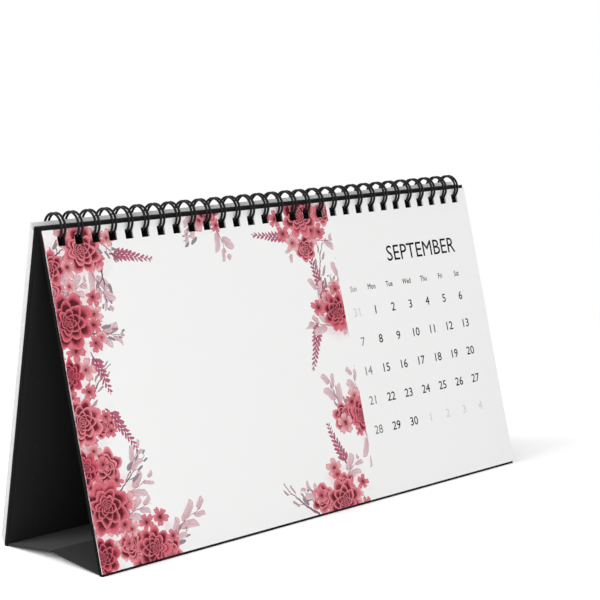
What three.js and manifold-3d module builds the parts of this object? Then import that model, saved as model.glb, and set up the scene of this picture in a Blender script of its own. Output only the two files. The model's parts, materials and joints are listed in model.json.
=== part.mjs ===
// Desk calendar: a tent of black board that carries thirteen paper leaves on a twin-loop wire.
// Millimetres. X runs along the spine, the front faces -Y and +Z is up.
import * as THREE from 'three';
import { mergeGeometries, mergeVertices } from 'three/addons/utils/BufferGeometryUtils.js';
import Module from 'manifold-3d';

const wasm = await Module();
wasm.setup();

// Leaves: four hang in front of the tent and nine behind it, listed from the board outwards.
const frontLeafNames = ['leaf_december', 'leaf_november', 'leaf_october', 'leaf_september'];
const rearLeafNames = ['leaf_cover', 'leaf_january', 'leaf_february', 'leaf_march', 'leaf_april',
  'leaf_may', 'leaf_june', 'leaf_july', 'leaf_august'];
const leafWidth = 254;
const leafHeight = 137;
const leafThickness = 0.15;
const frontLeafGap = 0.05; // air between a front leaf and its neighbour
const rearLeafGap = 0.15; // leaves already turned lie more loosely

// Punched holes, three to the inch
const holePitch = 25.4 / 3;
const holeWidth = 4;
const holeHeight = 4;
const holeEdge = 2.8; // sheet left above a hole

// Tent boards, which lean together under the spine
const leanAngle = THREE.MathUtils.degToRad(13);
const boardThickness = 2;
const spineHalfGap = 0.3; // from the spine's axis to a board's inner face
const boardAbove = 1.7; // board that shows above the front leaf
const boardBelow = 1.1; // board that shows below the front leaf

// Folding base between the boards' feet
const flapThickness = 1;
const flapFloorGap = 0.2;
const flapHingeGap = 0.35; // from a board's inner face to the flap's hinge line
const flapSideInset = 0.4; // how far a flap stops short of the boards' side edges
const creaseRise = 3.2; // underside of the base at its crease, above the floor
const creaseGap = 1.4; // between the two flaps at the crease

// Twin-loop wire
const wireDiameter = 1;
const loopRadius = 5.7; // from the spine's axis to the wire's centre line
const strandHalfGap = 1; // half the distance between the two strands of a loop
const linkBendRadius = 0.9; // where a strand turns into the link to the next loop
const linkSetback = 0.7; // links lie this far in front of the loops' lowest line
const tipSetback = 0.3; // loop tips end this far behind it
const holeSeat = 0.15; // air between a hole's upper edge and the strand under it
const strandSteps = 10;
const tipSteps = 4;
const bendSteps = 2;
const wireSides = 5;

const wireRadius = wireDiameter / 2;
const holeCount = Math.round(leafWidth / holePitch) - 1;
const boardOuter = spineHalfGap + boardThickness;
const FRONT = -1;
const REAR = 1;

// Places on a panel are given by two distances: out from the spine's axis, square to the panel,
// and down the panel from the foot of that square line.

// How far down the panel the wire crosses a plane that lies this far out.
function strandDrop(out) {
  return Math.sqrt(loopRadius ** 2 - out ** 2);
}

// The upper edge of a hole that hangs on the wire, for a sheet whose outer face lies this far out.
function holeTopFor(outerFace) {
  const drop = strandDrop(outerFace);
  const halfWireOnSheet = (wireRadius * loopRadius) / drop;
  return drop - halfWireOnSheet - holeSeat;
}

// A leaf hung with its holes' upper edges at a given drop, counted from the board outwards.
function leafPlace(index, gap, holeTop) {
  const near = boardOuter + gap + index * (leafThickness + gap);
  const top = (holeTop ?? holeTopFor(near + leafThickness)) - holeEdge;
  return { near, holeTop: top + holeEdge, top, bottom: top + leafHeight };
}

// Front leaves hang level with the one on show, and each rear leaf hangs where the wire holds it.
const shownLeaf = leafPlace(frontLeafNames.length - 1, frontLeafGap);
const frontLeafPlace = (index) => leafPlace(index, frontLeafGap, shownLeaf.holeTop);
const rearLeafPlace = (index) => leafPlace(index, rearLeafGap);
const boardTop = shownLeaf.top - boardAbove;
const boardFoot = shownLeaf.bottom + boardBelow;
const axisHeight = boardFoot * Math.cos(leanAngle) - boardOuter * Math.sin(leanAngle);

function holeCentres() {
  const centres = [];
  for (let i = 0; i < holeCount; i++) centres.push((i - (holeCount - 1) / 2) * holePitch);
  return centres;
}

// A box between two corners that are given in any order.
function boxBetween(from, to) {
  const box = new THREE.Box3().setFromPoints([from, to]);
  const size = box.getSize(new THREE.Vector3());
  const centre = box.getCenter(new THREE.Vector3());
  return new THREE.BoxGeometry(size.x, size.y, size.z).translate(centre.x, centre.y, centre.z);
}

function toSolid(geometry) {
  const bare = geometry.clone();
  bare.deleteAttribute('normal');
  bare.deleteAttribute('uv');
  const merged = mergeVertices(bare, 1e-4);
  return new wasm.Manifold(new wasm.Mesh({
    numProp: 3,
    vertProperties: new Float32Array(merged.attributes.position.array),
    triVerts: new Uint32Array(merged.index.array),
  }));
}

function toGeometry(solid) {
  const mesh = solid.getMesh();
  const geometry = new THREE.BufferGeometry();
  geometry.setAttribute('position', new THREE.BufferAttribute(mesh.vertProperties, mesh.numProp));
  geometry.setIndex(new THREE.BufferAttribute(mesh.triVerts, 1));
  geometry.computeVertexNormals();
  return geometry;
}

// A flat sheet with its row of holes, its near face at a distance from the spine's axis.
function punchedSheet(side, { top, bottom, holeTop, near, thickness }) {
  const sheet = boxBetween(
    new THREE.Vector3(-leafWidth / 2, side * near, -bottom),
    new THREE.Vector3(leafWidth / 2, side * (near + thickness), -top),
  );
  const punches = holeCentres().map((x) => boxBetween(
    new THREE.Vector3(x - holeWidth / 2, side * (near - thickness), -holeTop - holeHeight),
    new THREE.Vector3(x + holeWidth / 2, side * (near + 2 * thickness), -holeTop),
  ));
  return toSolid(sheet).subtract(toSolid(mergeGeometries(punches)));
}

// A board is punched as the leaves are, and its foot is cut flat to stand on.
function boardGeometry(side) {
  const board = punchedSheet(side, {
    top: boardTop,
    bottom: boardFoot + boardThickness,
    holeTop: holeTopFor(boardOuter),
    near: spineHalfGap,
    thickness: boardThickness,
  });
  const standing = toGeometry(board);
  standing.rotateX(side * leanAngle);
  standing.translate(0, 0, axisHeight);
  const floor = boxBetween(
    new THREE.Vector3(-leafWidth, -boardFoot, -4 * boardThickness),
    new THREE.Vector3(leafWidth, boardFoot, 0),
  );
  return toGeometry(toSolid(standing).subtract(toSolid(floor)));
}

// One half of the base: a flat strip from its hinge line by the board's foot up to the crease.
function flapGeometry(side) {
  const hinge = flapHinge();
  const crease = new THREE.Vector2(creaseGap / 2, creaseRise + flapThickness);
  const along = crease.clone().sub(hinge).normalize();
  const down = new THREE.Vector2(along.y, -along.x).multiplyScalar(-flapThickness);
  const section = new THREE.Shape([hinge, crease, crease.clone().add(down), hinge.clone().add(down)]);
  const length = leafWidth - 2 * flapSideInset;
  const geometry = new THREE.ExtrudeGeometry(section, { depth: length, bevelEnabled: false });
  geometry.translate(0, 0, -length / 2);
  geometry.rotateX(Math.PI / 2);
  geometry.rotateZ(Math.PI / 2);
  if (side === FRONT) geometry.rotateZ(Math.PI);
  return geometry;
}

// The flaps' hinge line, as its distance from the middle plane and its height.
function flapHinge() {
  const height = flapThickness + flapFloorGap;
  const footDrop = (axisHeight - height + spineHalfGap * Math.sin(leanAngle)) / Math.cos(leanAngle);
  const innerFace = spineHalfGap * Math.cos(leanAngle) + footDrop * Math.sin(leanAngle);
  return new THREE.Vector2(innerFace - flapHingeGap / Math.cos(leanAngle), height);
}

// A point of the wire: x along the spine, and a distance along the loop from its lowest line,
// which grows towards the front and on over the top.
function onLoop(x, distance, radius = loopRadius) {
  const angle = distance / loopRadius;
  return new THREE.Vector3(x, -radius * Math.sin(angle), -radius * Math.cos(angle));
}

// A quarter bend between a link and a strand, from the link's end of it.
function linkBend(strandX, towards) {
  const points = [];
  for (let i = 0; i <= bendSteps; i++) {
    const turn = (i / bendSteps) * (Math.PI / 2);
    const x = strandX + towards * linkBendRadius * (1 - Math.sin(turn));
    points.push(onLoop(x, linkSetback + linkBendRadius * (1 - Math.cos(turn))));
  }
  return points;
}

// The points between a strand's two ends, set out so that the chords touch the loop's circle.
function strandPoints(x, start, end) {
  const step = (end - start) / strandSteps;
  const cornerRadius = loopRadius / Math.cos(step / loopRadius / 2);
  const points = [];
  for (let i = 1; i < strandSteps; i++) points.push(onLoop(x, start + i * step, cornerRadius));
  return points;
}

// One loop: in from the link, up and over the front, round the tip behind, and back again.
function loopPoints(centre) {
  const start = linkSetback + linkBendRadius;
  const tipCentre = 2 * Math.PI * loopRadius - tipSetback - strandHalfGap;
  const left = centre - strandHalfGap;
  const right = centre + strandHalfGap;
  const tip = [];
  for (let i = 0; i <= tipSteps; i++) {
    const turn = (i / tipSteps) * Math.PI;
    const x = centre - strandHalfGap * Math.cos(turn);
    tip.push(onLoop(x, tipCentre + strandHalfGap * Math.sin(turn)));
  }
  return [
    ...linkBend(left, -1),
    ...strandPoints(left, start, tipCentre),
    ...tip,
    ...strandPoints(right, start, tipCentre).reverse(),
    ...linkBend(right, 1).reverse(),
  ];
}

// The whole wire: every loop in turn, with half a link left standing at each end.
function wirePoints() {
  const centres = holeCentres();
  const points = [onLoop(centres[0] - holePitch / 2, linkSetback)];
  for (const centre of centres) points.push(...loopPoints(centre));
  points.push(onLoop(centres.at(-1) + holePitch / 2, linkSetback));
  return points;
}

// A path through given points, one for each step of a tube along it.
class PointPath extends THREE.Curve {
  constructor(points) {
    super();
    this.points = points;
  }

  pointIndex(t) {
    return Math.round(t * (this.points.length - 1));
  }

  getPointAt(t) {
    return this.points[this.pointIndex(t)].clone();
  }

  getTangentAt(t) {
    const index = this.pointIndex(t);
    const here = this.points[index];
    const before = this.points[Math.max(index - 1, 0)];
    const after = this.points[Math.min(index + 1, this.points.length - 1)];
    const tangent = new THREE.Vector3();
    if (index > 0) tangent.add(here.clone().sub(before).normalize());
    if (index < this.points.length - 1) tangent.add(after.clone().sub(here).normalize());
    return tangent.normalize();
  }
}

function wireSection() {
  const corners = [];
  for (let i = 0; i < wireSides; i++) {
    const angle = (i / wireSides) * 2 * Math.PI;
    corners.push(new THREE.Vector2(wireRadius * Math.cos(angle), wireRadius * Math.sin(angle)));
  }
  return new THREE.Shape(corners);
}

// The least air between parts of the wire that lie apart along it.
function leastWireGap(points) {
  const lengths = [0];
  for (let i = 1; i < points.length; i++) {
    lengths.push(lengths[i - 1] + points[i].distanceTo(points[i - 1]));
  }
  const apart = Math.PI * strandHalfGap;
  let least = Infinity;
  for (let i = 0; i < points.length; i++) {
    for (let j = i + 1; j < points.length; j++) {
      if (lengths[j] - lengths[i] > apart) least = Math.min(least, points[i].distanceTo(points[j]));
    }
  }
  return least - wireDiameter;
}

function wireGeometry() {
  const points = wirePoints();
  console.log(`wire: least gap to itself ${leastWireGap(points).toFixed(2)} mm`);
  return new THREE.ExtrudeGeometry(wireSection(), {
    steps: points.length - 1,
    bevelEnabled: false,
    extrudePath: new PointPath(points),
  });
}

function material(colour, roughness, metalness = 0) {
  return new THREE.MeshStandardMaterial({ color: colour, roughness, metalness });
}

function piece(name, geometry, look) {
  const mesh = new THREE.Mesh(geometry, look);
  mesh.name = name;
  return mesh;
}

// The leaves of one side hang in a group that leans with its board.
function leafStack(side, names, placeOf) {
  const stack = new THREE.Group();
  stack.rotation.x = side * leanAngle;
  stack.position.z = axisHeight;
  names.forEach((name, index) => {
    const sheet = punchedSheet(side, { ...placeOf(index), thickness: leafThickness });
    stack.add(piece(name, toGeometry(sheet), material(0xf3f2f0, 0.6)));
  });
  return stack;
}

const calendar = new THREE.Group();
calendar.add(piece('front_board', boardGeometry(FRONT), material(0x1d1d1e, 0.75)));
calendar.add(piece('back_board', boardGeometry(REAR), material(0x1d1d1e, 0.75)));
calendar.add(piece('base_front_flap', flapGeometry(FRONT), material(0x232324, 0.75)));
calendar.add(piece('base_rear_flap', flapGeometry(REAR), material(0x232324, 0.75)));
calendar.add(leafStack(FRONT, frontLeafNames, frontLeafPlace));
calendar.add(leafStack(REAR, rearLeafNames, rearLeafPlace));
const wire = piece('wire_binding', wireGeometry(), material(0x111112, 0.35, 0.3));
wire.position.z = axisHeight;
calendar.add(wire);

// The origin lies on the floor under the middle of the whole part.
const extent = new THREE.Box3().setFromObject(calendar);
calendar.position.y = -(extent.min.y + extent.max.y) / 2;

export default calendar;
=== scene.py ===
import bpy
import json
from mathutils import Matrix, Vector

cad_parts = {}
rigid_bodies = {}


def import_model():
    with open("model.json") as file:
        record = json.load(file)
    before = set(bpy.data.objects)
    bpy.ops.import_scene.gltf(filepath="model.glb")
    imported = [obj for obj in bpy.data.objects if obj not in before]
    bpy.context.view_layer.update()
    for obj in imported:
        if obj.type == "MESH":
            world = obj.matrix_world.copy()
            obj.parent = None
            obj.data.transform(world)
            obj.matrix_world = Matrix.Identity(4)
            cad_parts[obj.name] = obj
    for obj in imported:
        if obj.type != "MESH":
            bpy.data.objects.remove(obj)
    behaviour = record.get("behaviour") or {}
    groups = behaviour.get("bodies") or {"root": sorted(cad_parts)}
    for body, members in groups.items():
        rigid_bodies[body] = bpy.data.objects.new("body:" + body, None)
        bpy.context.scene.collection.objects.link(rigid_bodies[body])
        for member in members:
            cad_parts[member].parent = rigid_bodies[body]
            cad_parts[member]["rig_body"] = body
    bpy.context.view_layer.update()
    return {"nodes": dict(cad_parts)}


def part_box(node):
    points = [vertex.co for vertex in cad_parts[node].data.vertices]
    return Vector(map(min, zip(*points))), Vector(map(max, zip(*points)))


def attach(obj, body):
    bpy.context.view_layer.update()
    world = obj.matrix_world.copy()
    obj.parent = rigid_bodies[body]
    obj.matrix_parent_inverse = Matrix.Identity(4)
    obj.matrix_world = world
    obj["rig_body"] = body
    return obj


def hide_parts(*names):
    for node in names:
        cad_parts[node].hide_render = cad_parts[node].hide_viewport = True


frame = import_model()

import calendar
import json
import math

import bmesh
import bpy
from mathutils import Matrix, Quaternion, Vector

mm = 0.001

# The tent's own measures. A place on a panel is given by how far out it lies from the spine's axis,
# square to the panel, and how far down the panel it lies.
tent = {
    "spine": Vector((0, -0.64536, 135.24888)) * mm,
    "lean": math.radians(13),
    "leafWidth": 254 * mm,
    "leafHeight": 137 * mm,
    "boardOuter": 2.3 * mm,
    "leafThickness": 0.15 * mm,
    "frontLeafGap": 0.05 * mm,
    "rearLeafGap": 0.15 * mm,
    "holePitch": 25.4 / 3 * mm,
    "holeCount": 29,
}
front = -1
rear = 1


def outward(side):
    return Vector((0, side * math.cos(tent["lean"]), math.sin(tent["lean"])))


def downward(side):
    return Vector((0, side * math.sin(tent["lean"]), -math.cos(tent["lean"])))


def onPanel(side, x, out, down):
    return tent["spine"] + Vector((x, 0, 0)) + outward(side) * out + downward(side) * down


def addObject(name, data):
    holder = bpy.data.objects.new(name, data)
    bpy.context.scene.collection.objects.link(holder)
    return holder


# An object with the shape of a working mesh, which is used up
def meshObject(name, working):
    data = bpy.data.meshes.new(name)
    working.to_mesh(data)
    working.free()
    return addObject(name, data)


# Small helpers for node trees

def addNode(tree, kind, **settings):
    node = tree.nodes.new(kind)
    for key, value in settings.items():
        setattr(node, key, value)
    return node


def feed(tree, socket, value):
    if isinstance(value, bpy.types.NodeSocket):
        tree.links.new(value, socket)
    elif value is not None:
        socket.default_value = value


def calc(tree, operation, a, b=None, c=None, clamp=False):
    node = addNode(tree, "ShaderNodeMath", operation=operation, use_clamp=clamp)
    for socket, value in zip(node.inputs, (a, b, c)):
        feed(tree, socket, value)
    return node.outputs[0]


def plus(tree, a, b, clamp=False):
    return calc(tree, "ADD", a, b, clamp=clamp)


def minus(tree, a, b, clamp=False):
    return calc(tree, "SUBTRACT", a, b, clamp=clamp)


def times(tree, a, b):
    return calc(tree, "MULTIPLY", a, b)


def over(tree, a, b):
    return calc(tree, "DIVIDE", a, b)


def timesPlus(tree, a, b, c):
    return calc(tree, "MULTIPLY_ADD", a, b, c)


def vectorCalc(tree, operation, a, b=None, output="Vector"):
    node = addNode(tree, "ShaderNodeVectorMath", operation=operation)
    feed(tree, node.inputs[0], a)
    feed(tree, node.inputs[1], b)
    return node.outputs[output]


def lengthOf(tree, vector):
    return vectorCalc(tree, "LENGTH", vector, output="Value")


def absolute(tree, value):
    return calc(tree, "ABSOLUTE", value)


def between(tree, value, low, high):
    return times(tree, calc(tree, "GREATER_THAN", value, low), calc(tree, "LESS_THAN", value, high))


def parts(tree, vector):
    node = addNode(tree, "ShaderNodeSeparateXYZ")
    feed(tree, node.inputs[0], vector)
    return node.outputs


def colourParts(tree, colour):
    node = addNode(tree, "ShaderNodeSeparateColor")
    feed(tree, node.inputs[0], colour)
    return node.outputs


def mixVector(tree, factor, a, b):
    node = addNode(tree, "ShaderNodeMix", data_type="VECTOR")
    feed(tree, node.inputs[0], factor)
    feed(tree, node.inputs[4], a)
    feed(tree, node.inputs[5], b)
    return node.outputs[1]


def joinParts(tree, x, y, z=0.0):
    node = addNode(tree, "ShaderNodeCombineXYZ")
    for socket, value in zip(node.inputs, (x, y, z)):
        feed(tree, socket, value)
    return node.outputs[0]


def smoothStep(tree, value, low, high, first=0.0, last=1.0):
    node = addNode(tree, "ShaderNodeMapRange", interpolation_type="SMOOTHSTEP")
    for socket, given in zip(node.inputs, (value, low, high, first, last)):
        feed(tree, socket, given)
    return node.outputs[0]


# A value that swings about its middle as the height goes from 0 to 1
def swing(tree, height, middle, spread):
    return timesPlus(tree, height, spread, middle - spread / 2)


def mixColour(tree, factor, a, b, blend="MIX"):
    node = addNode(tree, "ShaderNodeMix", data_type="RGBA", blend_type=blend)
    feed(tree, node.inputs[0], factor)
    feed(tree, node.inputs[6], a)
    feed(tree, node.inputs[7], b)
    return node.outputs[2]


def noise(tree, where, scale, detail=3.0, roughness=0.55, output="Fac"):
    node = addNode(tree, "ShaderNodeTexNoise")
    feed(tree, node.inputs["Vector"], where)
    feed(tree, node.inputs["Scale"], scale)
    node.inputs["Detail"].default_value = detail
    node.inputs["Roughness"].default_value = roughness
    return node.outputs[output]


# A group's inputs and outputs are named with their kinds, or a number's input with its starting value.
def newGroup(name, inputs, outputs):
    tree = bpy.data.node_groups.new(name, "ShaderNodeTree")
    kinds = {"value": "NodeSocketFloat", "colour": "NodeSocketColor", "vector": "NodeSocketVector"}
    for label, given in inputs.items():
        plain = not isinstance(given, str)
        kind = "value" if plain else given
        socket = tree.interface.new_socket(name=label, in_out="INPUT", socket_type=kinds[kind])
        if plain:
            socket.default_value = given
    for label, kind in outputs.items():
        tree.interface.new_socket(name=label, in_out="OUTPUT", socket_type=kinds[kind])
    source = addNode(tree, "NodeGroupInput")
    result = addNode(tree, "NodeGroupOutput")
    return tree, source.outputs, result.inputs


def useGroup(tree, group, **values):
    node = addNode(tree, "ShaderNodeGroup", node_tree=group)
    for label, value in values.items():
        feed(tree, node.inputs[label], value)
    return node.outputs


# Effects that more than one material uses
surface = {
    "fibreScale": 2600.0,
    "fibreRoughness": 0.65,
    "fibreShare": 0.6,
    "cloudScale": 45.0,
    "raggedScale": 420.0,
    "raggedRoughness": 0.7,
    "leastReach": 0.2,
    "reachSpread": 1.6,
    "dustScale": 700.0,
    "dustRadius": 0.16,
}


# Fine paper or card surface: a tone that varies about 1, and a height for bump.
def makePaperFibre():
    tree, given, result = newGroup(
        "paperFibre",
        {"Where": "vector", "Fibre Size": 1.0, "Mottle": 0.02},
        {"Tone": "value", "Height": "value"},
    )
    scale = over(tree, surface["fibreScale"], given["Fibre Size"])
    fine = noise(tree, given["Where"], scale, detail=4.0, roughness=surface["fibreRoughness"])
    cloud = noise(tree, given["Where"], surface["cloudScale"], detail=3.0, roughness=0.5)
    both = timesPlus(tree, fine, surface["fibreShare"], times(tree, cloud, 1 - surface["fibreShare"]))
    tone = timesPlus(tree, minus(tree, both, 0.5), given["Mottle"], 1.0)
    feed(tree, result["Tone"], tone)
    feed(tree, result["Height"], fine)
    return tree


# How close a point is to a panel's side, as an uneven mask: 1 at the edge itself. It places painted shade on
# the card's cut sides.
def makeRimWear():
    tree, given, result = newGroup(
        "paintedEdgeShade",
        {"Where": "vector", "From Side": 0.0, "Reach": 0.001},
        {"Mask": "value"},
    )
    scale = surface["raggedScale"]
    ragged = noise(tree, given["Where"], scale, detail=4.0, roughness=surface["raggedRoughness"])
    uneven = timesPlus(tree, ragged, surface["reachSpread"], surface["leastReach"])
    share = over(tree, given["From Side"], times(tree, given["Reach"], uneven))
    feed(tree, result["Mask"], minus(tree, 1.0, share, clamp=True))
    return tree


# Sparse specks of dust
def makeDust():
    tree, given, result = newGroup(
        "dustSpecks",
        {"Where": "vector", "Density": 0.3, "Size": 1.0},
        {"Mask": "value"},
    )
    cells = addNode(tree, "ShaderNodeTexVoronoi")
    feed(tree, cells.inputs["Vector"], given["Where"])
    feed(tree, cells.inputs["Scale"], over(tree, surface["dustScale"], given["Size"]))
    near = calc(tree, "LESS_THAN", cells.outputs["Distance"], surface["dustRadius"])
    pick = vectorCalc(tree, "DOT_PRODUCT", cells.outputs["Color"], (1.0, 0.0, 0.0), "Value")
    chosen = calc(tree, "LESS_THAN", pick, given["Density"])
    feed(tree, result["Mask"], times(tree, near, chosen))
    return tree


paperFibre = makePaperFibre()
paintedEdgeShade = makeRimWear()
dustSpecks = makeDust()
print("shared effects made")


def newMaterial(name):
    material = bpy.data.materials.new(name)
    material.use_nodes = True
    tree = material.node_tree
    shader = tree.nodes["Principled BSDF"]
    place = addNode(tree, "ShaderNodeTexCoord").outputs["Object"]
    return material, tree, shader, place


def addBump(tree, shader, height, look):
    bump = addNode(tree, "ShaderNodeBump")
    bump.inputs["Strength"].default_value = look["bumpStrength"]
    bump.inputs["Distance"].default_value = look["bumpHeight"]
    feed(tree, bump.inputs["Height"], height)
    tree.links.new(bump.outputs["Normal"], shader.inputs["Normal"])


# A matt fibrous material. Its toned colour is handed on for whatever lies over it.
def newFibrous(name, look):
    material, tree, shader, place = newMaterial(name)
    fibre = useGroup(
        tree, paperFibre, **{"Where": place, "Fibre Size": look["fibreSize"], "Mottle": look["mottle"]},
    )
    toned = mixColour(tree, 1.0, look["colour"], fibre["Tone"], "MULTIPLY")
    feed(tree, shader.inputs["Base Color"], toned)
    rough = swing(tree, fibre["Height"], look["roughness"], look["roughnessSpread"])
    feed(tree, shader.inputs["Roughness"], rough)
    shader.inputs["Specular IOR Level"].default_value = look["specular"]
    if "bumpHeight" in look:
        addBump(tree, shader, fibre["Height"], look)
    return material, tree, shader, place, toned


# Black card of the boards and the base
cardLook = {
    "colour": (0.014, 0.014, 0.0144, 1),
    # The back board's lighter colour is painted light, for the light inside the tent.
    "backColourWithPaintedLight": (0.02, 0.02, 0.0205, 1),
    # The next colour is painted shade that darkens the card's cut sides and a ragged band beside them.
    "edgeShadeColour": (0.0025, 0.0025, 0.0028, 1),
    "edgeShadeShare": 0.85,
    "edgeShadeReach": 0.5 * mm,
    "fibreSize": 1.4,
    "mottle": 0.5,
    "dustColour": (0.11, 0.11, 0.11, 1),
    "dustShare": 0.35,
    "dustSize": 1.3,
    "dust": 0.035,
    "roughness": 0.76,
    "roughnessSpread": 0.12,
    "specular": 0.05,
    "bumpHeight": 0.03 * mm,
    "bumpStrength": 0.6,
    "edgeRadius": 0.14 * mm,
}


def makeCard(name, look, halfWidth):
    material, tree, shader, place, toned = newFibrous(name, look)
    fromSide = minus(tree, halfWidth, absolute(tree, parts(tree, place)["X"]))
    edgeShadeMask = useGroup(tree, paintedEdgeShade, **{"Where": place, "From Side": fromSide, "Reach": look["edgeShadeReach"]})
    dust = useGroup(tree, dustSpecks, Where=place, Density=look["dust"], Size=look["dustSize"])
    # Painted shade: the cut sides and a ragged band beside them are darkened towards the darker rim colour.
    edgeShaded = mixColour(tree, times(tree, edgeShadeMask["Mask"], look["edgeShadeShare"]), toned, look["edgeShadeColour"])
    dusty = mixColour(tree, times(tree, dust["Mask"], look["dustShare"]), edgeShaded, look["dustColour"])
    feed(tree, shader.inputs["Base Color"], dusty)
    return material


def setMaterial(piece, material):
    piece.data.materials.clear()
    piece.data.materials.append(material)


rounding = {
    "mergeDistance": 0.001 * mm,
    "flatAngle": math.radians(0.5),
    "sharpAngle": math.radians(30),
    "segments": 2,
}


# A copy of a CAD node whose sharp edges are rounded a little, to stand for it.
def roundedCopy(nodeName, pieceName, material):
    source = frame["nodes"][nodeName]
    mesh = bmesh.new()
    mesh.from_mesh(source.data)
    bmesh.ops.remove_doubles(mesh, verts=mesh.verts, dist=rounding["mergeDistance"])
    bmesh.ops.dissolve_limit(mesh, angle_limit=rounding["flatAngle"], verts=mesh.verts, edges=mesh.edges)
    sharp = [e for e in mesh.edges if e.is_manifold and e.calc_face_angle(0) > rounding["sharpAngle"]]
    bmesh.ops.bevel(
        mesh, geom=sharp, offset=cardLook["edgeRadius"], segments=rounding["segments"], profile=0.5,
        affect="EDGES", clamp_overlap=True,
    )
    bmesh.ops.triangulate(mesh, faces=[f for f in mesh.faces if len(f.verts) > 4])
    piece = meshObject(pieceName, mesh)
    setMaterial(piece, material)
    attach(piece, source["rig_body"])
    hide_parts(nodeName)


boardCard = makeCard("board_card", cardLook, tent["leafWidth"] / 2)
# Painted light: the back board gets a lighter copy of the card than the front board.
litBackCard = makeCard("back_card_painted_light", {**cardLook, "colour": cardLook["backColourWithPaintedLight"]}, tent["leafWidth"] / 2)
roundedCopy("front_board", "front_board_card", boardCard)
roundedCopy("back_board", "back_board_card", litBackCard)
print("boards made")

# Folding base: two flaps of card that meet at a scored crease
base = {
    # Painted light: both flaps are lighter than the board card, and the rear one more, for the light and
    # sheen that fall on them.
    "frontColourWithPaintedLight": (0.042, 0.042, 0.043, 1),
    "rearColourWithPaintedLight": (0.078, 0.078, 0.079, 1),
    "specular": 0.3,
    "sideInset": 0.4 * mm,
    "edgeRadius": 0.16 * mm,
    "cornerSteps": 3,
    "lengthSteps": 60,
    "lipThickness": 0.22 * mm,
    "lipOverlap": 0.5 * mm,
    "lipClearance": 0.12 * mm,
    "lipRounding": 0.2,
    "lipRootUnder": 1.5,
    "lipRootOver": 0.5,
}


# A strip with each of the given sections, laid along X between the sides of a CAD node, to stand for it.
def cardStrip(nodeName, pieceName, sections, material):
    low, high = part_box(nodeName)
    mesh = bmesh.new()
    for section in sections:
        rows = []
        for step in range(base["lengthSteps"] + 1):
            x = low.x + (high.x - low.x) * step / base["lengthSteps"]
            rows.append([mesh.verts.new((x, p.y, p.z)) for p in section])
        for here, there in zip(rows, rows[1:]):
            for i in range(len(section)):
                j = (i + 1) % len(section)
                mesh.faces.new((here[i], here[j], there[j], there[i]))
        mesh.faces.new(list(reversed(rows[0])))
        mesh.faces.new(rows[-1])
    bmesh.ops.recalc_face_normals(mesh, faces=mesh.faces)
    piece = meshObject(pieceName, mesh)
    setMaterial(piece, material)
    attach(piece, frame["nodes"][nodeName]["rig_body"])
    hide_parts(nodeName)


# Rounds each corner of a section with a few points.
def roundedSection(corners, radius):
    steps = base["cornerSteps"]
    points = []
    count = len(corners)
    for i, corner in enumerate(corners):
        before = (corners[i - 1] - corner).normalized()
        after = (corners[(i + 1) % count] - corner).normalized()
        start = corner + before * radius
        end = corner + after * radius
        for step in range(steps + 1):
            t = step / steps
            points.append(start * (1 - t) ** 2 + corner * 2 * t * (1 - t) + end * t ** 2)
    return points


def sectionCorners(nodeName):
    data = frame["nodes"][nodeName].data
    found = sorted({(round(v.co.y, 7), round(v.co.z, 7)) for v in data.vertices})
    centre = Vector((0, sum(p[0] for p in found), sum(p[1] for p in found))) / len(found)
    corners = [Vector((0, y, z)) for y, z in found]
    return sorted(corners, key=lambda p: math.atan2(p.z - centre.z, p.y - centre.y))


# The scored skin of the card that bridges the crease. It belongs to the front flap and stops just short of
# the rear one, and its root goes deeper into the flap than its tip.
def creaseLip():
    start = max(sectionCorners("base_front_flap"), key=lambda p: p.z)
    end = max(sectionCorners("base_rear_flap"), key=lambda p: p.z)
    run = (end - start).normalized()
    tip = end - run * base["lipClearance"]
    root = start - run * base["lipOverlap"]
    sunk = Vector((0, 0, -base["lipThickness"]))
    corners = [root + sunk * base["lipRootUnder"], tip + sunk, tip, start, root + sunk * base["lipRootOver"]]
    return roundedSection(corners, base["lipThickness"] * base["lipRounding"])


def makeFlap(nodeName, pieceName, materialName, colour, extras):
    look = {**cardLook, "specular": base["specular"], "colour": colour}
    material = makeCard(materialName, look, tent["leafWidth"] / 2 - base["sideInset"])
    section = roundedSection(sectionCorners(nodeName), base["edgeRadius"])
    cardStrip(nodeName, pieceName, [section] + extras, material)


# The flap colours carry painted light, the rear flap's more than the front's.
makeFlap("base_front_flap", "base_front_card", "base_front_card", base["frontColourWithPaintedLight"], [creaseLip()])
makeFlap("base_rear_flap", "base_rear_card", "base_rear_card", base["rearColourWithPaintedLight"], [])
print("base made")

# Twin-loop wire
wireLook = {
    "colour": (0.003, 0.003, 0.0033, 1),
    "broadScale": 130.0,
    "toneSpread": 0.5,
    "fineScale": 1500.0,
    "roughness": 0.3,
    "roughnessSpread": 0.14,
    "specular": 0.16,
    "bumpHeight": 0.012 * mm,
    "bumpStrength": 0.5,
    "radius": 0.52 * mm,
    "loopRadius": 5.7 * mm,
    "strandHalfGap": 0.92 * mm,
    "bendRadius": 0.9 * mm,
    "linkSetback": 0.7 * mm,
    "tipSetback": 0.3 * mm,
    "strandSteps": 30,
    "tipSteps": 10,
    "bendSteps": 5,
    "roundSteps": 3,
}


def onLoop(x, distance):
    angle = distance / wireLook["loopRadius"]
    reach = wireLook["loopRadius"]
    return tent["spine"] + Vector((x, -reach * math.sin(angle), -reach * math.cos(angle)))


def linkBend(strandX, towards):
    points = []
    for i in range(wireLook["bendSteps"] + 1):
        turn = i / wireLook["bendSteps"] * math.pi / 2
        x = strandX + towards * wireLook["bendRadius"] * (1 - math.sin(turn))
        points.append(onLoop(x, wireLook["linkSetback"] + wireLook["bendRadius"] * (1 - math.cos(turn))))
    return points


def strandPoints(x, start, end):
    steps = wireLook["strandSteps"]
    return [onLoop(x, start + (end - start) * i / steps) for i in range(1, steps)]


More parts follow.
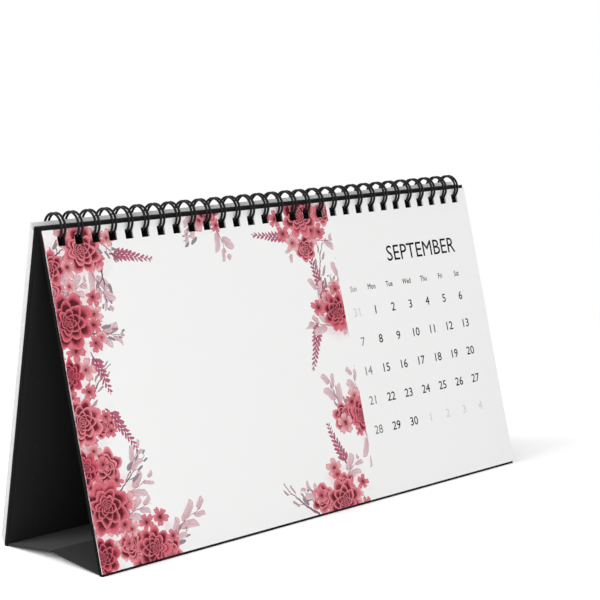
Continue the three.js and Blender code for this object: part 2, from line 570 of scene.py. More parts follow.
def loopPoints(centre):
    halfGap = wireLook["strandHalfGap"]
    start = wireLook["linkSetback"] + wireLook["bendRadius"]
    tipCentre = 2 * math.pi * wireLook["loopRadius"] - wireLook["tipSetback"] - halfGap
    tip = []
    for i in range(wireLook["tipSteps"] + 1):
        turn = i / wireLook["tipSteps"] * math.pi
        tip.append(onLoop(centre - halfGap * math.cos(turn), tipCentre + halfGap * math.sin(turn)))
    return (
        linkBend(centre - halfGap, -1)
        + strandPoints(centre - halfGap, start, tipCentre)
        + tip
        + strandPoints(centre + halfGap, start, tipCentre)[::-1]
        + linkBend(centre + halfGap, 1)[::-1]
    )


def wirePoints():
    count = tent["holeCount"]
    pitch = tent["holePitch"]
    centres = [(i - (count - 1) / 2) * pitch for i in range(count)]
    points = [onLoop(centres[0] - pitch / 2, wireLook["linkSetback"])]
    for centre in centres:
        points += loopPoints(centre)
    points.append(onLoop(centres[-1] + pitch / 2, wireLook["linkSetback"]))
    return points


def makeWireMaterial():
    material, tree, shader, place = newMaterial("wire_coating")
    fine = noise(tree, place, wireLook["fineScale"], detail=3.0, roughness=0.6)
    broad = noise(tree, place, wireLook["broadScale"], detail=2.0, roughness=0.5)
    tone = swing(tree, broad, 1.0, wireLook["toneSpread"])
    feed(tree, shader.inputs["Base Color"], mixColour(tree, 1.0, wireLook["colour"], tone, "MULTIPLY"))
    rough = swing(tree, fine, wireLook["roughness"], wireLook["roughnessSpread"])
    feed(tree, shader.inputs["Roughness"], rough)
    shader.inputs["Specular IOR Level"].default_value = wireLook["specular"]
    addBump(tree, shader, fine, wireLook)
    return material


def makeWire():
    curve = bpy.data.curves.new("twin_loop_wire", "CURVE")
    curve.dimensions = "3D"
    curve.bevel_depth = wireLook["radius"]
    curve.bevel_resolution = wireLook["roundSteps"]
    curve.use_fill_caps = True
    points = wirePoints()
    spline = curve.splines.new("POLY")
    spline.points.add(len(points) - 1)
    for slot, point in zip(spline.points, points):
        slot.co = (*point, 1)
    wire = addObject("twin_loop_wire", curve)
    setMaterial(wire, makeWireMaterial())
    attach(wire, "root")
    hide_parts("wire_binding")


makeWire()
print("wire made")

# Paper leaves
paperLook = {
    "colour": (0.895, 0.895, 0.892, 1),
    # The cut edges' tone is painted shade, for the shade between the stacked sheets.
    "cutEdgeShadeTone": 0.76,
    "fibreSize": 1.0,
    "mottle": 0.035,
    "roughness": 0.5,
    "roughnessSpread": 0.1,
    "specular": 0.2,
    "bumpHeight": 0.008 * mm,
    "bumpStrength": 0.5,
}
monthNames = ["january", "february", "march", "april", "may", "june", "july", "august",
              "september", "october", "november", "december"]
frontLeaves = ["december", "november", "october", "september"]
rearLeaves = ["cover"] + monthNames[:8]


# Flowers printed on the leaves. Places and sizes are in millimetres across the leaf from its left edge and
# down from its top. A bouquet is its place and its size. Four numbers in a row are a smooth step: where it
# starts and ends, and its value at each.
floral = {
    "panelWidth": 157.0,
    "bouquets": [(5, 37, 12.5), (17, 9, 10.5), (0, 15, 8), (1, 58, 7.3), (3, 77, 10.5), (0, 95, 7.6),
                 (7, 112, 12), (2, 131, 8.4), (27, 132, 9.3), (152, 50, 9), (139, 5, 11),
                 (157, 98, 8.5), (136, 134, 11), (86, -2, 7)],
    "petals": 8.0,
    "turnBySize": 3.1,
    "toneBySize": 3.7,
    "frontMargin": -1.0,
    "rearMargin": 6.0,
    "wobble": 1.5,
    "wobbleScale": 0.16,
    "hazeScale": 0.11,
    "hazeCloud": (0.38, 0.6, 0.0, 0.34),
    "hazeReach": (1.0, 1.75, 1.0, 0.0),
    "grainScale": 1.1,
    "grainTone": (0.25, 0.75, 0.86, 1.1),
}
bloomShape = {
    "ringsPerFold": 2.7,
    "heart": 0.03,
    "fewestPetals": 3.0,
    "ringTwist": 0.62,
    "notch": 0.8,
    "petalTone": 0.6,
    "petalShade": (0.05, 1.05, -0.12, 1.12),
    "heartShade": (0.1, 0.8, 0.22, -0.05),
    "streaks": 34.0,
    "streakTone": 0.05,
    "brushAcross": 3.4,
    "brushScale": 1.3,
    "brushMiddle": 0.55,
    "brushTone": 1.1,
    "rimLight": (0.04, 0.26, 0.75, 0.0),
    "outline": (0.0, 0.08, 0.9, 0.0),
}
blossomShape = {
    "petals": 5,
    "roundness": 0.55,
    "petalReach": 0.72,
    "notch": (0.93, 1.0, 0.0, 0.13),
    "streaks": 15.0,
    "streakTone": -0.35,
    "shade": (0.12, 0.72, 0.85, 0.1),
    "rimShade": (0.0, 0.13, 0.6, 0.0),
    "eye": 0.16,
}
sprigShape = {
    "stagger": 0.22,
    "leafedFrom": 0.02,
    "leafedUntil": 0.9,
    "leafSize": (-0.3, 1.25, 1.1, 0.3),
    "leafBelly": 0.8,
    "berryMiddle": 0.76,
    "berryRadius": 0.24,
    "stalkWidth": 0.12,
    "stemTaper": (0.0, 1.0, 1.0, 0.4),
    "stemShade": 0.8,
    "vein": (0.0, 0.22, 0.75, 0.0),
    "ribs": 30.0,
    "ribTone": 0.09,
    "shade": (0.0, 1.0, 0.5, 0.18),
    "rimShade": (0.0, 0.3, 0.45, 0.0),
}
scatterShape = {
    "randomness": 0.6,
    "shiftSlope": 1.7,
    "spread": 1.6,
    "leastSize": 0.75,
    "sizeSpread": 0.4,
}
inks = {
    "wineDeep": (74, 0, 14),
    "winePale": (204, 72, 94),
    "roseDeep": (106, 8, 28),
    "rosePale": (228, 126, 140),
    "blushDeep": (146, 34, 52),
    "blushPale": (240, 180, 184),
    "leafDeep": (166, 104, 120),
    "leafPale": (238, 214, 218),
    "plumDeep": (66, 56, 64),
    "plumPale": (158, 146, 152),
    "spikeDeep": (144, 52, 82),
    "spikePale": (200, 116, 140),
    "twigDeep": (140, 96, 108),
    "twigPale": (190, 156, 164),
    "haze": (226, 150, 164),
}


# A shader colour from the way that an ink looks on a screen, 0 to 255 a channel
def ink(name):
    levels = [value / 255 for value in inks[name]]
    return (*[v / 12.92 if v < 0.04045 else ((v + 0.055) / 1.055) ** 2.4 for v in levels], 1)


def randomTint(tree, ring, petal):
    node = addNode(tree, "ShaderNodeTexWhiteNoise", noise_dimensions="2D")
    feed(tree, node.inputs["Vector"], joinParts(tree, ring, petal))
    return node.outputs["Value"]


# Rings of round petals that lie over each other towards the middle. A ring's rim is scalloped, and each
# ring inwards has one petal fewer. Offset is the place from the bloom's middle.
def makeLayeredBloom():
    tree, given, result = newGroup(
        "layeredBloom",
        {"Offset": "vector", "Size": 10.0, "Turn": 0.0, "Petals": 8.0,
         "Deep": "colour", "Pale": "colour", "Rim": "colour"},
        {"Colour": "colour", "Mask": "value"},
    )
    shape = bloomShape
    offset = parts(tree, given["Offset"])
    reach = over(tree, lengthOf(tree, given["Offset"]), given["Size"])
    angle = calc(tree, "ARCTAN2", offset["Y"], offset["X"])
    turns = over(tree, plus(tree, angle, given["Turn"]), 2 * math.pi)
    inwards = calc(tree, "LOGARITHM", plus(tree, reach, shape["heart"]), math.e)
    inwards = times(tree, inwards, -shape["ringsPerFold"])

    def petalPhase(ring):
        count = calc(tree, "MAXIMUM", minus(tree, given["Petals"], ring), shape["fewestPetals"])
        return timesPlus(tree, turns, count, times(tree, ring, shape["ringTwist"])), count

    def scallop(phase):
        wave = absolute(tree, calc(tree, "COSINE", times(tree, phase, math.pi)))
        return times(tree, minus(tree, 1.0, wave), shape["notch"])

    nearRing = calc(tree, "FLOOR", inwards)
    past = minus(tree, inwards, nearRing)
    outside = calc(tree, "LESS_THAN", past, scallop(petalPhase(nearRing)[0]))
    ring = minus(tree, nearRing, outside)
    phase, count = petalPhase(ring)
    under = minus(tree, minus(tree, inwards, ring), scallop(phase))
    petal = calc(tree, "FLOORED_MODULO", calc(tree, "FLOOR", plus(tree, phase, 0.5)), count)
    tint = minus(tree, randomTint(tree, ring, petal), 0.5)
    streak = calc(tree, "SINE", times(tree, phase, shape["streaks"]))
    brushPlace = joinParts(tree, times(tree, phase, shape["brushAcross"]), inwards)
    brush = noise(tree, brushPlace, shape["brushScale"], detail=3.0, roughness=0.6)
    shade = smoothStep(tree, under, *shape["petalShade"])
    shade = timesPlus(tree, tint, shape["petalTone"], shade)
    shade = timesPlus(tree, streak, shape["streakTone"], shade)
    shade = timesPlus(tree, minus(tree, brush, shape["brushMiddle"]), shape["brushTone"], shade)
    shade = plus(tree, shade, smoothStep(tree, reach, *shape["heartShade"]), clamp=True)
    colour = mixColour(tree, shade, given["Pale"], given["Deep"])
    colour = mixColour(tree, smoothStep(tree, under, *shape["rimLight"]), colour, given["Rim"])
    line = smoothStep(tree, under, *shape["outline"])
    feed(tree, result["Colour"], mixColour(tree, line, colour, given["Deep"]))
    feed(tree, result["Mask"], calc(tree, "GREATER_THAN", ring, -0.5))
    return tree


# Notched petals round a dark eye
def makeOpenBlossom():
    tree, given, result = newGroup(
        "openBlossom",
        {"Offset": "vector", "Size": 4.0, "Turn": 0.0,
         "Deep": "colour", "Pale": "colour"},
        {"Colour": "colour", "Mask": "value"},
    )
    shape = blossomShape
    offset = parts(tree, given["Offset"])
    reach = over(tree, lengthOf(tree, given["Offset"]), given["Size"])
    angle = plus(tree, calc(tree, "ARCTAN2", offset["Y"], offset["X"]), given["Turn"])
    wave = absolute(tree, calc(tree, "COSINE", times(tree, angle, shape["petals"] / 2)))
    rim = calc(tree, "POWER", wave, shape["roundness"])
    rim = timesPlus(tree, rim, shape["petalReach"], 1 - shape["petalReach"])
    rim = minus(tree, rim, smoothStep(tree, wave, *shape["notch"]))
    inside = minus(tree, rim, reach)
    streak = absolute(tree, calc(tree, "SINE", times(tree, angle, shape["streaks"])))
    shade = smoothStep(tree, reach, *shape["shade"])
    shade = times(tree, shade, timesPlus(tree, streak, shape["streakTone"], 1.0))
    shade = plus(tree, shade, smoothStep(tree, inside, *shape["rimShade"]), clamp=True)
    shade = calc(tree, "MAXIMUM", shade, calc(tree, "LESS_THAN", reach, shape["eye"]))
    feed(tree, result["Colour"], mixColour(tree, shade, given["Pale"], given["Deep"]))
    feed(tree, result["Mask"], calc(tree, "GREATER_THAN", inside, 0.0))
    return tree


# A stem with leaves in pairs, or with berries on stalks where Round is 1. Offset is the place from its
# middle, and Bow is how far the stem bends aside.
def makeSprig():
    tree, given, result = newGroup(
        "sprig",
        {"Offset": "vector", "Turn": 0.0, "Length": 15.0, "Step": 4.0,
         "Leaf Length": 5.0, "Leaf Width": 2.6, "Lean": 0.8,
         "Bow": 1.0, "Round": 0.0, "Stem": 0.3,
         "Deep": "colour", "Pale": "colour"},
        {"Colour": "colour", "Mask": "value"},
    )
    shape = sprigShape
    turned = addNode(tree, "ShaderNodeVectorRotate", rotation_type="Z_AXIS")
    feed(tree, turned.inputs["Vector"], given["Offset"])
    feed(tree, turned.inputs["Angle"], times(tree, given["Turn"], -1.0))
    local = parts(tree, turned.outputs[0])
    along = timesPlus(tree, given["Length"], 0.5, local["X"])
    share = over(tree, along, given["Length"])
    bent = times(tree, times(tree, share, share), given["Bow"])
    aside = minus(tree, local["Y"], bent)
    away = absolute(tree, aside)
    sine = calc(tree, "SINE", given["Lean"])
    back = minus(tree, along, over(tree, away, calc(tree, "TANGENT", given["Lean"])))
    # The leaves of one side start a little further along than those of the other.
    back = timesPlus(tree, calc(tree, "SIGN", aside), times(tree, given["Step"], shape["stagger"]), back)
    steps = over(tree, back, given["Step"])
    index = calc(tree, "FLOOR", steps)
    across = minus(tree, minus(tree, steps, index), 0.5)
    across = times(tree, times(tree, across, given["Step"]), sine)
    rootShare = over(tree, times(tree, index, given["Step"]), given["Length"])
    onStem = between(tree, rootShare, shape["leafedFrom"], shape["leafedUntil"])
    size = smoothStep(tree, rootShare, *shape["leafSize"])
    leafLength = times(tree, given["Leaf Length"], size)
    outwards = over(tree, over(tree, away, sine), leafLength)
    leafCurve = calc(tree, "POWER", calc(tree, "MINIMUM", outwards, 1.0), shape["leafBelly"])
    leafCurve = calc(tree, "SINE", times(tree, leafCurve, math.pi))
    fromBerry = over(tree, minus(tree, outwards, shape["berryMiddle"]), shape["berryRadius"])
    berryCurve = minus(tree, 1.0, times(tree, fromBerry, fromBerry), clamp=True)
    berryCurve = calc(tree, "MAXIMUM", calc(tree, "SQRT", berryCurve), shape["stalkWidth"])
    curve = timesPlus(tree, minus(tree, berryCurve, leafCurve), given["Round"], leafCurve)
    halfWidth = times(tree, times(tree, curve, size), times(tree, given["Leaf Width"], 0.5))
    inside = minus(tree, halfWidth, absolute(tree, across))
    leaf = times(tree, calc(tree, "GREATER_THAN", inside, 0.0), calc(tree, "LESS_THAN", outwards, 1.0))
    leaf = times(tree, leaf, onStem)
    stemWidth = times(tree, given["Stem"], smoothStep(tree, share, *shape["stemTaper"]))
    stem = times(tree, calc(tree, "LESS_THAN", away, stemWidth), between(tree, share, 0.0, 1.0))
    vein = smoothStep(tree, absolute(tree, across), *shape["vein"])
    ribs = times(tree, minus(tree, outwards, absolute(tree, across)), shape["ribs"])
    ribs = calc(tree, "SINE", ribs)
    shade = timesPlus(tree, ribs, shape["ribTone"], smoothStep(tree, outwards, *shape["shade"]))
    shade = plus(tree, shade, smoothStep(tree, inside, *shape["rimShade"]))
    shade = calc(tree, "MAXIMUM", shade, times(tree, vein, minus(tree, 1.0, given["Round"])))
    shade = calc(tree, "MAXIMUM", shade, times(tree, stem, shape["stemShade"]), clamp=True)
    feed(tree, result["Colour"], mixColour(tree, shade, given["Pale"], given["Deep"]))
    feed(tree, result["Mask"], calc(tree, "MAXIMUM", leaf, stem))
    return tree


# The bouquet whose middle is nearest, for its size: the place from it, its size and how far off it is.
def makeNearestBouquet():
    tree, given, result = newGroup(
        "nearestBouquet",
        {"Where": "vector"},
        {"Offset": "vector", "Size": "value", "Distance": "value"},
    )
    offset = None
    for across, down, size in floral["bouquets"]:
        step = vectorCalc(tree, "SUBTRACT", given["Where"], (across, down, 0.0))
        away = over(tree, lengthOf(tree, step), size)
        if offset is None:
            offset = step
            best = away
            chosen = plus(tree, size, 0.0)
            continue
        closer = calc(tree, "LESS_THAN", away, best)
        offset = mixVector(tree, closer, offset, step)
        chosen = timesPlus(tree, closer, minus(tree, size, chosen), chosen)
        best = calc(tree, "MINIMUM", away, best)
    feed(tree, result["Offset"], offset)
    feed(tree, result["Size"], chosen)
    feed(tree, result["Distance"], best)
    return tree


# Uneven cells over the leaf: each place's own cell middle, and three chance values for it
def makeScatter():
    tree, given, result = newGroup(
        "scatter",
        {"Where": "vector", "Pitch": 15.0, "Shift": 0.0},
        {"Centre": "vector", "Chance": "colour"},
    )
    shift = joinParts(tree, given["Shift"], times(tree, given["Shift"], scatterShape["shiftSlope"]))
    cells = addNode(tree, "ShaderNodeTexVoronoi", voronoi_dimensions="2D")
    feed(tree, cells.inputs["Vector"], vectorCalc(tree, "ADD", given["Where"], shift))
    feed(tree, cells.inputs["Scale"], over(tree, 1.0, given["Pitch"]))
    cells.inputs["Randomness"].default_value = scatterShape["randomness"]
    feed(tree, result["Centre"], vectorCalc(tree, "SUBTRACT", cells.outputs["Position"], shift))
    feed(tree, result["Chance"], cells.outputs["Color"])
    return tree


layeredBloom = makeLayeredBloom()
openBlossom = makeOpenBlossom()
sprig = makeSprig()
nearestBouquet = makeNearestBouquet()
scatter = makeScatter()


# One layer of small motifs round the bouquets. A kind's pitch and shift say how its cells lie, its reach
# how far from a bouquet's middle it grows, in bouquet sizes, and its share how many cells hold one.
def scatterLayer(tree, where, kind):
    cell = useGroup(tree, scatter, Where=where, Pitch=kind["pitch"], Shift=kind["shift"])
    home = useGroup(tree, nearestBouquet, Where=cell["Centre"])
    chance = colourParts(tree, cell["Chance"])
    out = parts(tree, home["Offset"])
    heading = calc(tree, "ARCTAN2", out["Y"], out["X"])
    spread = scatterShape["spread"]
    turn = timesPlus(tree, chance["Red"], spread, minus(tree, heading, spread / 2))
    shown = between(tree, home["Distance"], *kind["reach"])
    shown = times(tree, shown, calc(tree, "LESS_THAN", chance["Green"], kind["share"]))
    offset = vectorCalc(tree, "SUBTRACT", where, cell["Centre"])
    grow = timesPlus(tree, chance["Blue"], scatterShape["sizeSpread"], scatterShape["leastSize"])
    return offset, turn, times(tree, grow, kind["size"]), shown


# The order in which they are printed. A sprig's shape is its value for each of the sockets.
sprigSockets = ("Step", "Leaf Length", "Leaf Width", "Lean", "Bow", "Round", "Stem")
sprigKinds = [
    {"ink": "twig", "pitch": 33.0, "shift": 3.0, "reach": (0.8, 2.4), "share": 1.0, "size": 33.0,
     "shape": (8.0, 8.5, 2.2, 0.5, 6.0, 1.0, 0.55)},
    {"ink": "spike", "pitch": 25.0, "shift": 41.0, "reach": (0.8, 2.4), "share": 0.8, "size": 25.0,
     "shape": (2.2, 4.2, 2.1, 0.9, 2.0, 0.0, 0.3)},
    {"ink": "leaf", "pitch": 23.0, "shift": 77.0, "reach": (0.6, 2.2), "share": 1.0, "size": 22.0,
     "shape": (7.4, 10.5, 5.8, 0.8, 2.5, 0.0, 0.3)},
    {"ink": "plum", "pitch": 18.0, "shift": 19.0, "reach": (0.7, 1.9), "share": 0.7, "size": 17.0,
     "shape": (5.0, 6.4, 3.6, 0.8, 1.5, 1.0, 0.3)},
    {"ink": "leaf", "pitch": 19.0, "shift": 58.0, "reach": (0.5, 1.7), "share": 0.9, "size": 18.0,
     "shape": (6.2, 8.6, 4.8, 0.8, 1.0, 0.0, 0.3)},
]
smallBloomKind = {"pitch": 18.0, "shift": 63.0, "reach": (0.4, 1.5), "share": 0.8, "size": 7.5, "petals": 6.0}
blossomKinds = [
    {"ink": "blush", "pitch": 10.5, "shift": 5.0, "reach": (0.5, 1.5), "share": 0.8, "size": 4.83},
    {"ink": "rose", "pitch": 9.0, "shift": 31.0, "reach": (0.6, 1.4), "share": 0.8, "size": 4.14},
]


def makeFloralPage():
    tree, given, result = newGroup(
        "floralPage", {"Where": "vector"}, {"Colour": "colour", "Mask": "value"},
    )
    drift = noise(tree, given["Where"], floral["wobbleScale"], detail=4.0, roughness=0.6, output="Color")
    drift = colourParts(tree, drift)
    sideways = swing(tree, drift["Red"], 0.0, 2 * floral["wobble"])
    lengthways = swing(tree, drift["Green"], 0.0, 2 * floral["wobble"])
    where = vectorCalc(tree, "ADD", given["Where"], joinParts(tree, sideways, lengthways))
    colour = (1, 1, 1, 1)
    cover = 0.0

    def lay(colour, cover, motif, shown):
        mask = times(tree, motif["Mask"], shown)
        return mixColour(tree, mask, colour, motif["Colour"]), calc(tree, "MAXIMUM", cover, mask)

    for kind in sprigKinds:
        offset, turn, length, shown = scatterLayer(tree, where, kind)
        motif = useGroup(
            tree, sprig, Offset=offset, Turn=turn, Length=length,
            Deep=ink(kind["ink"] + "Deep"), Pale=ink(kind["ink"] + "Pale"),
            **dict(zip(sprigSockets, kind["shape"])),
        )
        colour, cover = lay(colour, cover, motif, shown)
    offset, turn, size, shown = scatterLayer(tree, where, smallBloomKind)
    motif = useGroup(
        tree, layeredBloom, Offset=offset, Size=size, Turn=turn, Petals=smallBloomKind["petals"],
        Deep=ink("roseDeep"), Pale=ink("rosePale"), Rim=ink("blushPale"),
    )
    colour, cover = lay(colour, cover, motif, shown)
    for kind in blossomKinds:
        offset, turn, size, shown = scatterLayer(tree, where, kind)
        motif = useGroup(
            tree, openBlossom, Offset=offset, Size=size, Turn=turn,
            Deep=ink(kind["ink"] + "Deep"), Pale=ink(kind["ink"] + "Pale"),
        )
        colour, cover = lay(colour, cover, motif, shown)
    home = useGroup(tree, nearestBouquet, Where=where)
    turn = times(tree, home["Size"], floral["turnBySize"])
    fresh = calc(tree, "FRACT", times(tree, home["Size"], floral["toneBySize"]))
    deep = mixColour(tree, fresh, ink("wineDeep"), ink("roseDeep"))
    pale = mixColour(tree, fresh, ink("winePale"), ink("rosePale"))
    rim = mixColour(tree, fresh, ink("rosePale"), ink("blushPale"))
    motif = useGroup(
        tree, layeredBloom, Offset=home["Offset"], Size=home["Size"], Turn=turn,
        Petals=floral["petals"], Deep=deep, Pale=pale, Rim=rim,
    )
    colour, cover = lay(colour, cover, motif, 1.0)
    cloud = noise(tree, given["Where"], floral["hazeScale"], detail=4.0, roughness=0.6)
    cloud = smoothStep(tree, cloud, *floral["hazeCloud"])
    haze = times(tree, smoothStep(tree, home["Distance"], *floral["hazeReach"]), cloud)
    colour = mixColour(tree, cover, ink("haze"), colour)
    cover = calc(tree, "MAXIMUM", cover, haze)
    grain = noise(tree, given["Where"], floral["grainScale"], detail=5.0, roughness=0.7)
    wash = smoothStep(tree, grain, *floral["grainTone"])
    feed(tree, result["Colour"], mixColour(tree, 1.0, colour, wash, "MULTIPLY"))
    feed(tree, result["Mask"], cover)
    return tree


floralPage = makeFloralPage()
print("flowers made")


def leafGap(side):
    return tent["frontLeafGap"] if side == front else tent["rearLeafGap"]


# The way that a leaf's printed face looks: the rear leaves have turned over, so theirs faces the board.
def printedWay(side):
    return outward(side) if side == front else -outward(side)


def leafTopOf(name, side):
    data = frame["nodes"]["leaf_" + name].data
    return min((v.co - tent["spine"]).dot(downward(side)) for v in data.vertices)


# Paper whose printed face carries the flowers, from a margin at its left and its top. A leaf's place in
# its stack says whether its picture is mirrored or turned, so that no two neighbours match.
def makePrintedPaper(name, side, nearName, margin):
    material, tree, shader, place, sheet = newFibrous(name, paperLook)
    fromSpine = vectorCalc(tree, "SUBTRACT", place, tent["spine"])
    down = vectorCalc(tree, "DOT_PRODUCT", fromSpine, downward(side), "Value")
    down = over(tree, minus(tree, down, leafTopOf(nearName, side)), mm)
    across = timesPlus(tree, parts(tree, fromSpine)["X"], 1 / mm, tent["leafWidth"] / 2 / mm)
    gap = leafGap(side)
    out = vectorCalc(tree, "DOT_PRODUCT", fromSpine, outward(side), "Value")
    out = minus(tree, out, tent["boardOuter"] + gap / 2)
    order = calc(tree, "FLOOR", over(tree, out, tent["leafThickness"] + gap))
    order = calc(tree, "FLOORED_MODULO", plus(tree, order, 1.0), 4.0)
    turned = calc(tree, "GREATER_THAN", order, 1.5)
    mirrored = calc(tree, "FLOORED_MODULO", order, 2.0)
    otherAcross = timesPlus(tree, across, -2.0, floral["panelWidth"])
    otherDown = timesPlus(tree, down, -2.0, tent["leafHeight"] / mm)
    pictureAcross = timesPlus(tree, otherAcross, mirrored, across)
    pictureDown = timesPlus(tree, otherDown, turned, down)
    flowers = useGroup(tree, floralPage, Where=joinParts(tree, pictureAcross, pictureDown))
    # The ink runs over the cut edge, and painted shade makes the cut edge greyer than the face.
    normal = place.node.outputs["Normal"]
    printed = vectorCalc(tree, "DOT_PRODUCT", normal, printedWay(side), "Value")
    cut = absolute(tree, parts(tree, normal)["X"])
    printed = calc(tree, "GREATER_THAN", calc(tree, "MAXIMUM", printed, cut), 0.5)
    share = times(tree, flowers["Mask"], printed)
    share = times(tree, share, calc(tree, "GREATER_THAN", calc(tree, "MINIMUM", across, down), margin))
    share = times(tree, share, calc(tree, "LESS_THAN", across, floral["panelWidth"]))
    inked = mixColour(tree, share, sheet, flowers["Colour"])
    # Painted shade: the cut edges are darkened, for the shade between the stacked sheets.
    cutEdgeShadeTone = timesPlus(tree, calc(tree, "GREATER_THAN", cut, 0.5), paperLook["cutEdgeShadeTone"] - 1, 1.0)
    feed(tree, shader.inputs["Base Color"], mixColour(tree, 1.0, inked, cutEdgeShadeTone, "MULTIPLY"))
    return material


frontPaper = makePrintedPaper("front_paper", front, "september", floral["frontMargin"])
rearPaper = makePrintedPaper("rear_paper", rear, "august", floral["rearMargin"])
for name in frontLeaves:
    setMaterial(frame["nodes"]["leaf_" + name], frontPaper)
for name in rearLeaves:
    setMaterial(frame["nodes"]["leaf_" + name], rearPaper)
print("paper made")

# Month, weekdays and date numbers, printed as a thin film of ink on each leaf. They are placed from the
# leaf's left edge and its top.
dates = {
    "year": 2025,
    "left": 165.1 * mm,
    "columnPitch": 11.98 * mm,
    "top": 52.4 * mm,
    "rowPitch": 13.6 * mm,
    "numberSize": 5.6 * mm,
    "numberWeight": 0.05 * mm,
    "titleAcross": 215 * mm,
    "titleDown": 27.6 * mm,
    "titleSize": 10.4 * mm,
    "titleWeight": 0.03 * mm,
    "titleNarrow": 0.93,
    "dayNames": ("Sun", "Mon", "Tue", "Wed", "Thu", "Fri", "Sat"),
    "dayNameDown": 41.4 * mm,
    "dayNameSize": 3.7 * mm,
    "dayNameWeight": 0.045 * mm,
    "dayNameNarrow": 0.78,
    "outlineSteps": 3,
    "inkLift": 0.006 * mm,
    "inkHalfThickness": 0.003 * mm,
}
inkLook = {
    "fibreSize": 1.0,
    "mottle": 0.4,
    "roughness": 0.6,
    "roughnessSpread": 0.1,
    "specular": 0.1,
}
inkTones = {
    "dark_ink": (0.003, 0.003, 0.0034, 1),
    "grey_ink": (0.68, 0.68, 0.68, 1),
    "rest_day_ink": (0.24, 0.24, 0.24, 1),
}
darkInk, greyInk, restInk = range(3)  # their places among a piece's materials
inkMaterials = [newFibrous(name, {**inkLook, "colour": tone})[0] for name, tone in inkTones.items()]


# The mesh of a number or a word in the built-in face, centred on the origin, flat in XY. A chamfer as wide
# as the weight makes the strokes bolder, and the height is then pressed down to a film of ink.
def textMesh(text, size, weight, narrow=1.0):
    curve = bpy.data.curves.new("text", "FONT")
    curve.body = text
    curve.align_x = "CENTER"
    curve.align_y = "CENTER"
    curve.resolution_u = dates["outlineSteps"]
    curve.bevel_resolution = 0
    curve.bevel_depth = weight / size
    holder = addObject("text", curve)
    bpy.context.view_layer.update()
    mesh = bpy.data.meshes.new_from_object(holder.evaluated_get(bpy.context.evaluated_depsgraph_get()))
    bpy.data.objects.remove(holder)
    bpy.data.curves.remove(curve)
    flat = dates["inkHalfThickness"] * size / weight
    mesh.transform(Matrix.Diagonal((size * narrow, size, flat, 1)))
    return mesh


# Where a printed mark stands on its leaf: X along the spine, Y up the leaf, Z off the printed face.
def printPlace(side, faceOut, leafTop, across, down):
    origin = onPanel(side, across - tent["leafWidth"] / 2, faceOut, leafTop + down)
    axes = Matrix((Vector((1, 0, 0)), -downward(side), printedWay(side))).transposed()
    return Matrix.Translation(origin) @ axes.to_4x4()


def printDates(name, side, index):
    month = monthNames.index(name) + 1
    gap = leafGap(side)
    near = tent["boardOuter"] + gap + index * (tent["leafThickness"] + gap)
    lift = dates["inkLift"] + dates["inkHalfThickness"]
    faceOut = near + tent["leafThickness"] + lift if side == front else near - lift
    top = leafTopOf(name, side)
    title = textMesh(name.upper(), dates["titleSize"], dates["titleWeight"], dates["titleNarrow"])
    marks = [(title, dates["titleAcross"], dates["titleDown"], darkInk)]
    for column, dayName in enumerate(dates["dayNames"]):
        across = dates["left"] + column * dates["columnPitch"]
        label = textMesh(dayName, dates["dayNameSize"], dates["dayNameWeight"], dates["dayNameNarrow"])
        marks.append((label, across, dates["dayNameDown"], restInk if column == 0 else darkInk))
    for row, week in enumerate(calendar.Calendar(6).monthdatescalendar(dates["year"], month)):
        for column, day in enumerate(week):
            across = dates["left"] + column * dates["columnPitch"]
            down = dates["top"] + row * dates["rowPitch"]
            inMonth = restInk if column == 0 else darkInk
            number = textMesh(str(day.day), dates["numberSize"], dates["numberWeight"])
            marks.append((number, across, down, inMonth if day.month == month else greyInk))
    joined = bmesh.new()
    for mesh, across, down, shade in marks:
        mesh.transform(printPlace(side, faceOut, top, across, down))
        first = len(joined.faces)
        joined.from_mesh(mesh)
        joined.faces.ensure_lookup_table()
        for face in joined.faces[first:]:
            face.material_index = shade
        bpy.data.meshes.remove(mesh)
    piece = meshObject("date_numbers_" + name, joined)
    for material in inkMaterials:
        piece.data.materials.append(material)
    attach(piece, "leaf_" + name)


for index, name in enumerate(frontLeaves):
    printDates(name, front, index)
for index, name in enumerate(rearLeaves):
    if name in monthNames:
        printDates(name, rear, index)
print("date numbers made")

# Floor, light and camera
studio = {
    "floorSize": 8.0,
    "floorColour": (0.88, 0.88, 0.88, 1),
    "floorGrainScale": 30.0,
    "floorGrain": 0.01,
    "floorRoughness": 0.9,
    "floorSpecular": 0.1,
    "floorShare": 0.58,
    "floorLift": 0.03,
    "whiteFrom": 0.28,
    "whiteUntil": 0.62,
    "skyStrength": 0.54,
    "keyPower": 29.3,
    "keyPlace": Vector((-0.99, -2.08, 0.8)),
    "keySize": 2.56,
    "sidePower": 10.0,
    "sidePlace": Vector((-1.05, 0.42, 0.55)),
    "sideSize": 1.3,
    "target": Vector((0, 0, 0.06)),
}


# 1 where the eye sees a surface, also in gloss or through glass, and 0 where it only lights the object.
def seenByEye(tree):
    light = addNode(tree, "ShaderNodeLightPath").outputs
    seen = calc(tree, "MAXIMUM", light["Is Camera Ray"], light["Is Glossy Ray"])
    return calc(tree, "MAXIMUM", seen, light["Is Transmission Ray"])


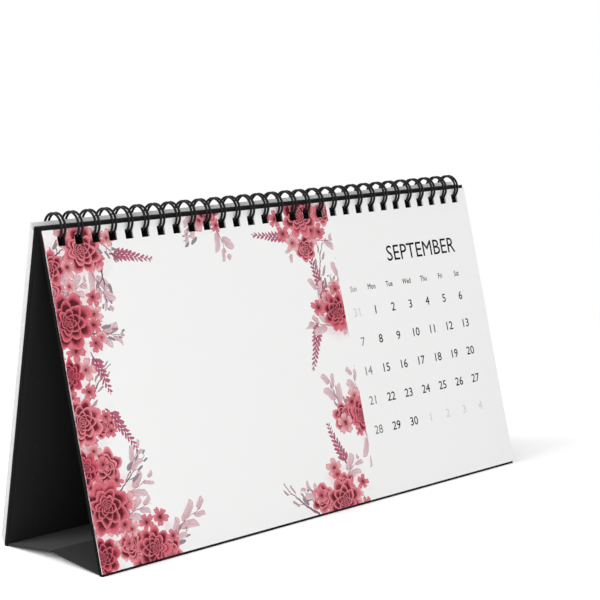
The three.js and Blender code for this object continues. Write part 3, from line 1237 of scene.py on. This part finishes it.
def makeFloor():
    bpy.ops.mesh.primitive_plane_add(size=studio["floorSize"], location=(0, 0, 0))
    floor = bpy.context.object
    floor.name = "floor"
    material, tree, shader, place = newMaterial("floor_paint")
    grain = noise(tree, place, studio["floorGrainScale"], detail=3.0, roughness=0.5)
    tone = swing(tree, grain, 1.0, studio["floorGrain"])
    feed(tree, shader.inputs["Base Color"], mixColour(tree, 1.0, studio["floorColour"], tone, "MULTIPLY"))
    shader.inputs["Roughness"].default_value = studio["floorRoughness"]
    shader.inputs["Specular IOR Level"].default_value = studio["floorSpecular"]
    # Far from the object the floor is plain white to the eye, so that no horizon shows.
    seen = seenByEye(tree)
    far = smoothStep(tree, lengthOf(tree, place), studio["whiteFrom"], studio["whiteUntil"])
    white = addNode(tree, "ShaderNodeEmission")
    mixed = addNode(tree, "ShaderNodeMixShader")
    feed(tree, mixed.inputs[0], times(tree, seen, far))
    tree.links.new(white.outputs[0], mixed.inputs[2])
    tree.links.new(mixed.outputs[0], tree.nodes["Material Output"].inputs["Surface"])
    shader.inputs["Emission Color"].default_value = (1, 1, 1, 1)
    feed(tree, shader.inputs["Emission Strength"], times(tree, seen, studio["floorLift"]))
    # A second matt share, for the eye alone, keeps the floor white up to the object's own shadow.
    extra = addNode(tree, "ShaderNodeBsdfDiffuse")
    feed(tree, extra.inputs["Color"], times(tree, seen, studio["floorShare"]))
    both = addNode(tree, "ShaderNodeAddShader")
    tree.links.new(shader.outputs[0], both.inputs[0])
    tree.links.new(extra.outputs[0], both.inputs[1])
    tree.links.new(both.outputs[0], mixed.inputs[1])
    setMaterial(floor, material)


def makeSky():
    world = bpy.data.worlds.new("studio")
    bpy.context.scene.world = world
    world.use_nodes = True
    tree = world.node_tree
    background = tree.nodes["Background"]
    background.inputs["Color"].default_value = (1, 1, 1, 1)
    strength = smoothStep(tree, seenByEye(tree), 0.0, 1.0, studio["skyStrength"], 1.0)
    feed(tree, background.inputs["Strength"], strength)


def addSoftLight(name, place, size, power):
    lamp = bpy.data.lights.new(name, "AREA")
    lamp.shape = "DISK"
    lamp.size = size
    lamp.energy = power
    holder = addObject(name, lamp)
    holder.location = place
    holder.rotation_mode = "QUATERNION"
    holder.rotation_quaternion = (studio["target"] - place).to_track_quat("-Z", "Y")


# The lens and the place come from the leaf's corners and the wire in the photograph's frame.
view = {
    "place": Vector((-521.16, -559.42, 199.18)) * mm,
    "turn": math.radians(43.871),
    "drop": math.radians(7.957),
    "roll": math.radians(-1.267),
    "focalPixels": 1717.2,
    "frameWidth": 600,
    "sensor": 36.0,
    "clipStart": 0.01,
    "clipEnd": 50.0,
}


def makeCamera():
    data = bpy.data.cameras.new("camera")
    data.sensor_width = view["sensor"]
    data.lens = view["focalPixels"] / view["frameWidth"] * view["sensor"]
    data.clip_start = view["clipStart"]
    data.clip_end = view["clipEnd"]
    camera = addObject("camera", data)
    level = math.cos(view["drop"])
    ahead = Vector((math.sin(view["turn"]) * level, math.cos(view["turn"]) * level, -math.sin(view["drop"])))
    camera.location = view["place"]
    camera.rotation_mode = "QUATERNION"
    camera.rotation_quaternion = ahead.to_track_quat("-Z", "Y") @ Quaternion((0, 0, 1), view["roll"])
    bpy.context.scene.camera = camera


makeFloor()
makeSky()
addSoftLight("key", studio["keyPlace"], studio["keySize"], studio["keyPower"])
addSoftLight("side", studio["sidePlace"], studio["sideSize"], studio["sidePower"])
makeCamera()
bpy.context.scene.view_settings.view_transform = "Standard"
print("studio made")
